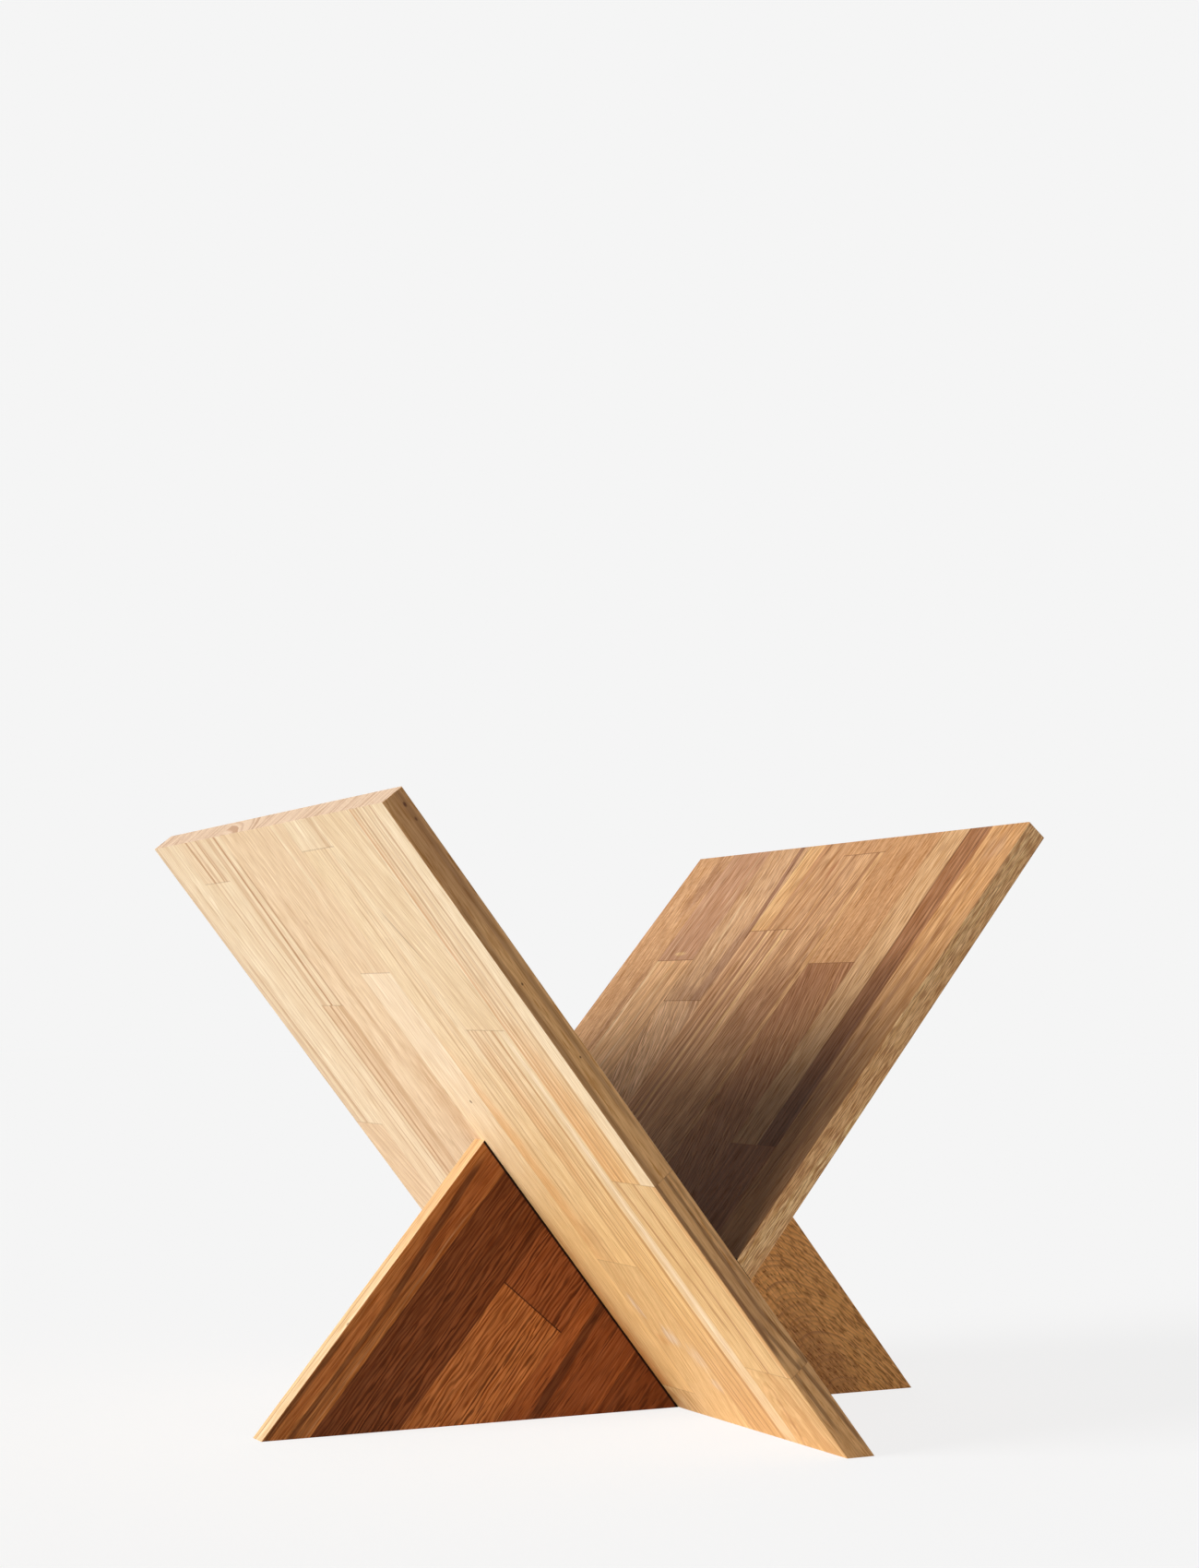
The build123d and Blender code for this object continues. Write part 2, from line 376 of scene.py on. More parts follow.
LONG_LOOKS = {
    "1_lower": Look(
        HONEY, TOFFEE, turn=70, far=40, arch=0.10, lines=0.8, wander=1.5,
        veins=(
            Vein((14, 0), (21, 49), 1.0, TOFFEE, 0.6),
            Vein((34, 0), (28, 36), 1.2, CARAMEL, 0.5),
        ),
        patches=(Patch((22, 12), (44, 56), TOFFEE, 0.3, 0.3),),
        edge_veins=(
            Vein((10.5, 0), (8.5, 49), 1.2, UMBER, 0.6),
            Vein((3.5, 14), (3, 44), 0.9, UMBER, 0.5),
        ),
    ),
    "1_middle": Look(
        HONEY, TOFFEE, rings=5.0, lines=0.5, figure=0.7,
        veins=(
            Vein((19, 49), (20, 164), 1.0, CARAMEL, 0.75),
            Vein((29.5, 72), (32, 112), 1.2, CARAMEL, 0.6),
            Vein((32, 112), (36, 164), 1.2, CARAMEL, 0.65),
            Vein((1.5, 49), (1.5, 164), 2.0, AMBER, 0.35),
            Vein((5, 49), (5, 164), 0.6, CARAMEL, 0.4),
        ),
        edge_veins=(
            Vein((1.6, 60), (1.2, 160), 1.0, UMBER, 0.65),
            Vein((7.4, 84), (6.6, 158), 0.9, UMBER, 0.6),
            Vein((11.5, 49), (7.4, 84), 1.0, UMBER, 0.6),
            Vein((6.5, 49), (3.0, 82), 0.9, UMBER, 0.55),
            Vein((10.5, 96), (9.5, 160), 0.6, UMBER, 0.35),
        ),
        edge_stains=(
            Patch((8.0, 51), (3.5, 4.0), SMOKE, 0.3, 0.8),
            Patch((6, 95), (14, 40), SIENNA, 0.25, 0.5),
        ),
    ),
    "1_upper": Look(
        BUTTER, TOFFEE, rings=4.2, turn=14, lines=0.4, figure=0.6,
        veins=(
            Vein((6, 164), (6, 378), 12, IVORY, 0.85, 1.2),
            Vein((14.5, 164), (14, 378), 1.0, CARAMEL, 0.5),
            Vein((20, 164), (21, 378), 0.8, CARAMEL, 0.4),
            Vein((30, 164), (29, 378), 1.2, CARAMEL, 0.55),
            Vein((33.5, 164), (33, 378), 0.8, AMBER, 0.4),
            Vein((37.5, 164), (36.5, 378), 1.4, AMBER, 0.5),
            Vein((25.5, 164), (25, 300), 0.8, CARAMEL, 0.3),
        ),
        patches=(Patch((28, 195), (18, 75), GOLD, 0.4, 0.5),),
        edge_veins=(
            Vein((1.3, 164), (1.3, 322), 1.6, UMBER, 0.35, 1.5),
            Vein((8.6, 200), (8.2, 378), 0.5, UMBER, 0.3),
            Vein((9.8, 190), (9.4, 378), 0.5, UMBER, 0.3),
        ),
        edge_stains=(
            Patch((8.3, 371), (1.0, 2.0), COCOA, 0.95, 0.5),
            Patch((8.6, 363), (0.8, 1.6), COCOA, 0.8, 0.5),
            Patch((6, 350), (14, 75), SIENNA, 0.35, 0.5),
            Patch((4.5, 276), (0.7, 1.1), COCOA, 0.8, 0.4),
            Patch((7.0, 233), (0.6, 0.9), COCOA, 0.8, 0.4),
        ),
    ),
    "2_lower": Look(
        BUTTER, TOFFEE, rings=3.8, turn=14, lines=0.55, figure=1.0, streaks=0.6,
        veins=(
            Vein((45.5, 0), (45.5, 253), 11, CREAM, 0.75, 1.0),
            Vein((44.2, 50), (44.2, 253), 3.0, PEARL, 0.7, 1.0),
            Vein((53.6, 0), (53.4, 253), 1.3, CARAMEL, 0.55),
            Vein((61, 0), (61, 253), 0.9, CARAMEL, 0.4),
            Vein((66, 0), (65, 253), 0.9, CARAMEL, 0.4),
            Vein((72.5, 0), (71.5, 253), 1.0, CARAMEL, 0.5),
            Vein((75.6, 0), (75, 253), 0.9, CARAMEL, 0.4),
            Vein((79.6, 0), (79.6, 253), 1.4, CARAMEL, 0.45),
        ),
        patches=(
            Patch((60, 12), (46, 75), TOFFEE, 0.5, 0.3),
            Patch((74, 200), (12, 70), GOLD, 0.3, 0.5),
        ),
    ),
    "2_upper": Look(
        HONEY, BISCUIT, rings=4.6, slant=-0.16, lines=0.4, figure=0.25, fade=0.8,
        veins=(Vein((73, 296), (81, 323), 1.0, SIENNA, 0.45, 0.7),),
    ),
    "3_lower": Look(
        HONEY, TOFFEE, rings=4.2, slant=0.14, lines=0.7, wander=1.8, flecks=0.2, figure=0.8,
        patches=(
            Patch((100, 58), (8, 9), CHALK, 0.6),
            Patch((86, 46), (9, 12), CHALK, 0.35),
            Patch((86, 28), (6, 6), CHALK, 0.5),
            Patch((115, 76), (4, 11), CHALK, 0.55),
            Patch((111, 54), (7, 5), AMBER, 0.3),
        ),
    ),
    "3_middle": Look(
        BUTTER, TOFFEE, rings=5.0, lines=0.3, figure=0.25, flecks=0.15, fade=0.85,
        veins=(
            Vein((84.5, 235), (85.5, 361), 6, IVORY, 0.6, 3),
            Vein((93.5, 200), (93, 361), 0.8, CARAMEL, 0.35),
            Vein((104, 106), (103, 330), 1.0, CARAMEL, 0.4),
            Vein((98, 106), (97, 361), 0.8, CARAMEL, 0.3),
        ),
        patches=(
            Patch((119, 170), (16, 90), GOLD, 0.5, 0.5),
            Patch((108, 120), (14, 18), CARAMEL, 0.3),
        ),
    ),
    "3_upper": Look(
        STRAW, BISCUIT, rings=5.0, lines=0.4,
        veins=(Vein((87, 361), (87, 378), 3, BISCUIT, 0.5, 2),),
    ),
    "4_lower": Look(HONEY, TOFFEE, rings=3.4, turn=70, far=35, arch=0.08, lines=0.9),
    "4_middle": Look(
        BUTTER, TOFFEE, rings=5.0, lines=0.3, streaks=0.4, figure=0.2, fade=0,
        patches=(
            # painted sheen and light: a broad pale patch, in place of the board's fade, makes the stave
            # pale towards its top
            Patch((142, 295), (110, 190), PEARL, 0.95, 0.2, depth=190.0),
            # golden and amber low on the stave, above the left fin: partly the wood's tone, partly painted
            # warm bounce from the fin
            Patch((163, 60), (24, 130), GOLD, 0.75, 0.5),
            Patch((158, 15), (22, 70), AMBER, 0.5, 0.5),
            Patch((136.3, 207), (1.5, 1.3), UMBER, 0.9, 0.5),
        ),
    ),
    "4_upper": Look(
        ROSE, BISCUIT, rings=5.0, lines=0.4, fade=0.25,
        veins=(
            Vein((138, 335), (136, 378), 2.2, IVORY, 0.85, 1.2),
            Vein((138.5, 288), (138, 314), 1.8, IVORY, 0.5),
        ),
    ),
    "5": Look(
        ROSE, BISCUIT, rings=6.0, turn=60, far=60, lines=0.2, figure=0.2, flecks=0.12, streaks=0.4,
        fade=0.25,
        veins=(
            Vein((185, 232), (188, 332), 1.6, CARAMEL, 0.25, 2),
            Vein((194, 305), (191, 345), 1.2, CARAMEL, 0.22, 1.5),
        ),
        patches=(
            Patch((168, 200), (18, 60), BISCUIT, 0.5),
            Patch((192, 222), (18, 14), IVORY, 0.3),
            Patch((165, 305), (12, 10), IVORY, 0.3),
            Patch((180, 321), (3, 3), CARAMEL, 0.3),
        ),
    ),
    "6_lower": Look(
        ROSE, BISCUIT, rings=5.0, lines=0.5, fade=0.1,
        veins=(
            Vein((219, 150), (215, 268), 6, BISCUIT, 0.6, 1.5),
            Vein((235, 150), (229.5, 268), 2.0, CARAMEL, 0.65),
            Vein((240.5, 150), (240.5, 268), 1.5, CARAMEL, 0.45),
            Vein((225, 170), (222, 268), 1.2, CARAMEL, 0.3),
        ),
    ),
    "6_upper": Look(
        ROSE, BISCUIT, rings=5.0, lines=0.4, fade=0.9,
        veins=(
            Vein((226.5, 268), (220.5, 378), 2.0, CARAMEL, 0.75, 0.8),
            Vein((213, 268), (212, 362), 1.6, CARAMEL, 0.65),
            Vein((237, 268), (230, 378), 4.5, BISCUIT, 0.5, 2),
            Vein((229.5, 268), (225, 378), 1.8, IVORY, 0.7),
            Vein((217, 268), (216, 378), 1.6, IVORY, 0.5),
        ),
    ),
    "7_lower": Look(
        ROSE, BISCUIT, rings=5.0, lines=0.25, figure=0.25, fade=0.9,
        veins=(
            Vein((250, 130), (249, 351), 18, IVORY, 0.7, 4),
            Vein((247, 140), (246, 330), 0.8, BISCUIT, 0.6),
            Vein((259, 140), (258, 351), 0.8, BISCUIT, 0.6),
            Vein((266, 140), (265, 351), 0.9, BISCUIT, 0.6),
        ),
    ),
    "7_upper": Look(
        ROSE, BISCUIT, rings=4.0, lines=0.5, fade=0.6,
        veins=(
            Vein((246, 351), (246, 378), 2.0, CARAMEL, 0.4),
            Vein((250, 351), (249.5, 378), 1.4, CARAMEL, 0.5),
            Vein((265, 351), (265.5, 378), 2.0, CARAMEL, 0.7),
            Vein((258.5, 351), (258, 378), 1.4, CARAMEL, 0.4),
            Vein((253.5, 351), (253, 378), 1.4, IVORY, 0.6),
        ),
    ),
    "8_lower": Look(ROSE, CARAMEL, rings=5.5, slant=-0.30, lines=0.32, wander=1.6, fade=0.1),
    "8_upper": Look(
        IVORY, BISCUIT, rings=5.0, lines=0.5, wander=2.4, streaks=1.4, figure=0.6,
        veins=(
            Vein((284.5, 184), (284.5, 378), 3.0, IVORY, 0.7, 1.5),
            Vein((289, 255), (291, 362), 2.4, IVORY, 0.6, 1.5),
            Vein((303, 184), (305, 300), 2.0, CARAMEL, 0.4, 1.5),
            Vein((298, 230), (299, 378), 1.8, BISCUIT, 0.25, 1.5),
            Vein((308.5, 184), (308.5, 378), 2.4, IVORY, 0.6, 1.2),
            Vein((316, 184), (316, 378), 8, BLUSH, 0.4, 2),
        ),
    ),
}

SHORT_LOOKS = {
    "1": Look(
        GINGER, NUT, rings=6.0, turn=45, far=60, slant=0.09, arch=0.03, lines=0.7,
        veins=(
            Vein((22, 235), (14, 332), 2.4, NUT, 0.45, 1.5),
            Vein((26, 200), (24, 252), 2.4, SIENNA, 0.45, 1.5),
            Vein((21, 160), (18, 250), 2.4, SIENNA, 0.4, 1.5),
            Vein((11, 175), (12, 250), 1.8, SIENNA, 0.35, 1.5),
        ),
        patches=(Patch((16, 374), (14, 12), SAND, 0.5),),
    ),
    "2_lower": Look(TAN, UMBER, rings=5.0, lines=0.6),
    "2_upper": Look(
        CARAMEL, SIENNA, lines=0.5, figure=0.6, ridges=0.05,
        veins=(
            Vein((58, 183), (59.5, 391), 23.5, BISCUIT, 0.95, 0.5),
            Vein((45.6, 183), (46.8, 391), 1.2, UMBER, 0.65, 0.6),
            Vein((37, 183), (37.5, 391), 14, PLUM, 0.4, 1.5),
            Vein((37, 183), (37, 300), 15, UMBER, 0.4, 1.5),
            Vein((32.5, 183), (33.5, 391), 0.8, COCOA, 0.4),
            Vein((36, 183), (37, 391), 0.6, COCOA, 0.35),
            Vein((40.2, 183), (41, 391), 0.8, COCOA, 0.25),
            Vein((60, 255), (65, 345), 1.0, NUT, 0.35),
            Vein((56, 183), (58, 262), 1.2, NUT, 0.3),
            Vein((64, 183), (61, 240), 1.2, NUT, 0.3),
        ),
    ),
    "3_lower": Look(
        HAZEL, SIENNA, rings=9.0, slant=-0.28, lines=0.8, wander=1.5, pores=0.6, ridges=0.06,
        # painted shade: darker patch where the long board's shadow ends on the inner face
        patches=(Patch((103, 284), (30, 44), SIENNA, 0.5, 0.6),),
    ),
    "3_upper": Look(TAWNY, NUT, lines=0.3, flecks=0.9, fleck_slant=-24),
    "4_lower": Look(
        WHEAT, NUT, rings=4.8, turn=12, slant=0.03, lines=0.7, pores=0.6, streaks=0.8, wander=1.4,
        ridges=0.06,
        veins=(
            Vein((129, 262), (120, 374), 1.4, SIENNA, 0.5),
            Vein((152, 220), (142, 378), 1.6, SIENNA, 0.45),
            Vein((115.5, 190), (116, 378), 3.0, MAIZE, 0.6),
            Vein((122, 190), (119, 300), 1.2, SIENNA, 0.4),
        ),
        # painted shade: darker patch where the long board's shadow ends on the inner face
        patches=(Patch((133, 266), (30, 46), SIENNA, 0.5, 0.6),),
    ),
    "4_upper": Look(TAWNY, NUT, lines=0.4, flecks=1.0, fleck_slant=-24),
    "5_lower": Look(
        ALMOND, TAN, rings=6.0, turn=12, lines=0.7, streaks=0.8, ridges=0.04,
        veins=(
            Vein((181, 190), (179.5, 326), 2.4, SIENNA, 0.65),
            Vein((173.5, 190), (170, 326), 1.6, SIENNA, 0.6),
            Vein((163, 190), (163, 326), 1.4, SIENNA, 0.5),
            Vein((187, 190), (184, 326), 1.2, SIENNA, 0.5),
            Vein((192, 190), (190, 326), 1.0, SIENNA, 0.35),
            Vein((167, 190), (166, 326), 1.0, SIENNA, 0.35),
            Vein((160, 250), (160, 326), 2.4, HONEY, 0.5),
            Vein((177, 190), (176, 326), 2.0, HONEY, 0.4),
        ),
        # painted shade: darker patch where the long board's shadow ends on the inner face
        patches=(Patch((172, 270), (24, 32), TAN, 0.2, 0.6),),
    ),
    "5_upper": Look(
        WHEAT, TAN, rings=6.0, slant=0.08, lines=0.7, wander=1.6, pores=0.5,
        veins=(
            Vein((169, 326), (163, 391), 1.4, NUT, 0.55),
            Vein((178, 326), (174, 391), 1.4, NUT, 0.55),
            Vein((188, 326), (188, 391), 14, MAIZE, 0.8, 2),
            Vein((194.5, 326), (195, 391), 2.4, HONEY, 0.4),
        ),
        patches=(
            Patch((155.8, 370), (3, 9), CHESTNUT, 0.5),
            Patch((178, 364), (2, 4), SIENNA, 0.4),
        ),
    ),
    "6_lower": Look(
        APRICOT, NUT, rings=5.0, slant=-0.42, lines=0.9, wander=1.6, pores=0.6, ridges=0.05,
    ),
    "6_upper": Look(
        FAWN, NUT, rings=6.0, slant=-0.12, lines=0.4, pores=0.6, flecks=0.4,
        veins=(
            Vein((198, 326), (204, 391), 3.4, PLUM, 0.75, 1.2),
            Vein((203, 275), (200, 330), 9.0, PLUM, 0.5, 2.5),
            Vein((222, 308), (228, 356), 1.4, CREAM, 0.3),
            Vein((229, 350), (235, 374), 1.2, NUT, 0.4),
        ),
        patches=(Patch((217, 280), (18, 9), PLUM, 0.3),),
    ),
    "7_lower": Look(
        PEACH, TAN, rings=6.0, lines=0.5,
        veins=(
            Vein((249, 215), (251, 306), 1.4, NUT, 0.35),
            Vein((256, 215), (256, 306), 1.0, CREAM, 0.35),
            Vein((277, 238), (277, 306), 1.8, CREAM, 0.4),
            Vein((241, 215), (241, 306), 1.8, NUT, 0.4),
        ),
    ),
    "7_upper": Look(
        MUSHROOM, TAN, rings=8.0, lines=0.4, streaks=0.5,
        veins=(
            Vein((271, 306), (272.5, 391), 1.0, CREAM, 0.12),
            Vein((267, 306), (268, 391), 1.4, NUT, 0.4),
            Vein((245, 345), (246, 391), 1.0, CREAM, 0.2),
        ),
        patches=(Patch((258, 311), (9, 2), HONEY, 0.6, 0.8),),
    ),
    "8": Look(
        WHEAT, TAN, rings=6.0, slant=-0.10, lines=0.4, flecks=0.9, fleck_slant=-42,
        veins=(Vein((285, 225), (284, 300), 3.0, NUT, 0.55, 1.5),),
        patches=(Patch((287, 368), (15, 34), PLUM, 0.5),),
    ),
}

# The left fin's tones are darker and redder than the boards': partly the wood's own tone, partly painted
# shade and painted warm bounce from the long board above it.
LEFT_LOOKS = {
    "1": Look(
        BRONZE, MAHOGANY, rings=7.0, lines=0.6, figure=0.8, streaks=0.9,
        veins=(
            Vein((11, 90), (5, 172), 2.4, COCOA, 0.7),
            Vein((11, 5), (11, 90), 1.6, COCOA, 0.6),
            Vein((2, 0), (2, 62), 1.8, COCOA, 0.6),
            Vein((16.8, 10), (16.8, 150), 0.5, WHEAT, 0.35, 0.4),
            Vein((14.2, 0), (14.2, 110), 0.8, COCOA, 0.4),
            Vein((6, 20), (7, 90), 4.0, RUSSET, 0.35, 2),
        ),
        patches=(Patch((12, 150), (12, 75), CHESTNUT, 0.65, 0.5),),
        edge_veins=(
            Vein((4.2, 0), (4.2, 181), 0.6, TAN, 0.7, 0.4),
            Vein((2.2, 0), (2.2, 181), 2.6, HONEY, 0.5, 0.6),
            Vein((10.5, 100), (9.5, 181), 1.2, HONEY, 0.5),
        ),
        edge_stains=(
            Patch((11, 68), (1.0, 1.4), UMBER, 0.7, 0.4),
            Patch((6, 165), (16, 90), MAIZE, 0.6, 0.4),
        ),
    ),
    "2": Look(
        CLAY, COCOA, rings=8.0, turn=15, lines=0.4, figure=0.3, pores=0.8, dash=(2.1, 34), ridges=0.16,
        streaks=0.5, wander=1.4,
    ),
    "3_lower": Look(
        COPPER, BRICK, rings=9.0, turn=15, slant=0.03, lines=0.4, figure=0.3, pores=0.7, dash=(2.2, 30),
        ridges=0.16, streaks=0.4, wander=1.4,
    ),
    "3_upper": Look(
        HENNA, CHESTNUT, rings=9.0, turn=15, lines=0.3, figure=0.3, pores=0.75, dash=(2.2, 34),
        ridges=0.16, streaks=0.4,
    ),
    "4": Look(
        HENNA, MAHOGANY, rings=9.0, lines=0.3, figure=0.5, pores=0.65, streaks=0.6,
        veins=(
            Vein((102, 90), (102, 165), 7.0, RUSSET, 0.42, 2),
            Vein((111.5, 90), (106.5, 165), 3.6, COCOA, 0.7, 1.6),
            Vein((136, 110), (138, 150), 1.4, RUSSET, 0.3),
            Vein((118, 95), (116, 150), 1.0, COCOA, 0.25),
        ),
    ),
    "5": Look(
        SADDLE, COCOA, rings=9.0, turn=60, far=40, lines=0.5, figure=0.4, pores=0.65, streaks=0.7,
    ),
}


def arched(turn, dark_patch_across):
    """Look of a wide stave of the right fin, with fine rings that run through it in arches, and a darker
    patch low on it.
    """
    return Look(
        CORN, TAN, rings=0.95, turn=turn, far=58, arch=0.24, lines=0.7, pores=0.85, dash=(2.1, 12),
        dash_slant=8, wander=1.1, streaks=0.3, figure=0.15,
        patches=(Patch((dark_patch_across, 50), (22, 60), CARAMEL, 0.6, 0.6),),
    )


RIGHT_LOOKS = {
    "1": arched(71, 37),
    "2": arched(109, 40),
    "3": Look(MANGO, OCHRE, rings=5.0, turn=30, pores=0.8, dash=(2.6, 14)),
}

LONG_UNDER = ((LONG_FOOT_X, 0, 0), (SIN_LEAN, 0, COS_LEAN))
LONG_UPPER = ((LONG_UPPER_X, 0, 0), (SIN_LEAN, 0, COS_LEAN))
SHORT_UNDER = ((SHORT_UNDER_X, 0, 0), (SIN_LEAN, 0, -COS_LEAN))

BOARDS = (
    Board(
        "long_board", LONG, LONG_LOOKS,
        edge=(tone(228, 176, 118), tone(150, 102, 60)), edge_rings=0.3,
        end=(tone(234, 204, 174), tone(190, 146, 112)),
        pore=tone(164, 112, 68), open_pores=0.6, mottle=0.5, gloss=0.15,
        glue=tone(146, 98, 58), row_glue=0.12, butt_glue=0.28,
        # painted sheen and light: the board pales towards its top
        fade=Fade(IVORY, 110, 320, 0.3, 1.0),
    ),
    Board(
        "short_board", SHORT, SHORT_LOOKS,
        edge=(tone(255, 212, 154), tone(218, 152, 98)), speckle=(tone(156, 94, 52), 0.68),
        end=(TAWNY, SIENNA),
        pore=tone(98, 60, 38), texture=2.4, mottle=0.8, gloss=0.05,
        glue=GLUE, row_glue=0.2, butt_glue=0.6,
        # painted shade: the short board darkens low in the V, where the long board shades its inner face
        fade=Fade(V_SHADE, 350, 210, 0.6, 1.0, blend="MULTIPLY"),
        seams=((*LONG_UPPER, 1.2, 0.9),),
    ),
    Board(
        "left_fin", LEFT, LEFT_LOOKS, shown_face=THICKNESS / MM,
        edge=(tone(241, 212, 170), tone(216, 170, 118)),
        end=(CHESTNUT, COCOA),
        pore=tone(66, 32, 15), texture=2.6, gloss=0.08,
        glue=tone(46, 24, 12), row_glue=0.2, butt_glue=0.85,
        seams=((*LONG_UNDER, 1.6, 0.97),),
    ),
    Board(
        "right_fin", RIGHT, RIGHT_LOOKS,
        edge=(TAWNY, SIENNA),
        end=(BRONZE, CHESTNUT),
        pore=tone(132, 80, 42), texture=1.3, gloss=0.08,
        glue=GLUE, row_glue=0.3, butt_glue=0.6,
        seams=((*LONG_UPPER, 1.0, 0.6), (*SHORT_UNDER, 0.9, 0.5)),
    ),
)

# Patterns of the oak
WANDER = Pattern((0.018, 0.0045, 0.02), 0.0)
RIPPLE = Pattern((0.11, 0.016, 0.11), 1.7)
FIGURE = Pattern((0.45, 0.006, 0.45), 2.3, detail=3.0, roughness=0.65)
FIBRE = Pattern((1.4, 0.05, 1.4), 4.3, detail=1.5, roughness=0.7)
STREAK = Pattern((0.14, 0.0035, 0.14), 5.2, detail=3.0)
CLOUD = Pattern((0.03, 0.009, 0.03), 6.6)
SPECKLE = Pattern((2.0, 0.12, 2.0), 7.7)
FLECK = Pattern((1.3, 0.30, 1.3), 8.4, detail=1.5)
RAGGED = Pattern((0.25, 0.10, 0.25), 9.9, detail=3.0)

WANDER_REACH = 9.0      # how far the grain wanders sideways, in slow bends
RIPPLE_REACH = 2.6      # and in short ones
DASH_CELLS = (2.8, 2.0)
DRIFT_CELLS = (0.6, 1.4)
DRIFT_REACH = 2.6       # how far rows of dashes drift, in spacings

# How much lighter and darker the broad faces turn with each pattern
STREAK_SHADE = 0.5
CLOUD_SHADE = 0.2
FIGURE_SHADE = 0.5
FIBRE_SHADE = 0.75
RIDGE_SHADE = 1.3

# A growth ring runs from 0 to 1: the early wood ends, then the late wood grows and stops short
RING_UNEVEN = 4.0       # how many rings the uneven growth shifts
GROWTH_SCALE = 0.07     # of the uneven growth, per millimetre
EARLY_ENDS = (0.05, 0.6)
LATE_GROWS = (0.2, 0.85)
LATE_ENDS = (0.88, 1.0)
FAINTEST_RING = 0.3

PORE_SHOWS = (0.48, 0.64)       # noise at which a pore starts to show, and shows fully
SPECKLE_SHOWS = (0.43, 0.60)
STAIN_RIM = (0.25, 1.0)         # share of a stain's radius over which it dies out
SIDE_TURNS = (0.55, 0.85)       # cosine at which one side of a stave turns into the next
VEIN_END = 8.0                  # over which a vein's end dies out
# the darkening fade is painted shade, kept near the short board's inner face
DARK_DEPTH = (4.0, 10.0)        # between which a darkening fade dies out through a board
GLUE_LINE = (0.15, 0.5)         # half the width of a glue line, hard and soft
# a seam's dark gap is painted shade
GAP_HARD = 0.6                  # share of a gap that is fully dark
SIDE_ROOM = 1.0                 # a stave's side this near to the board's side has no glue line
OAK_RELIEF = 0.12 * MM          # in metres, as is the beech's

SEED_STEP = 1.37                # from one stave to the next


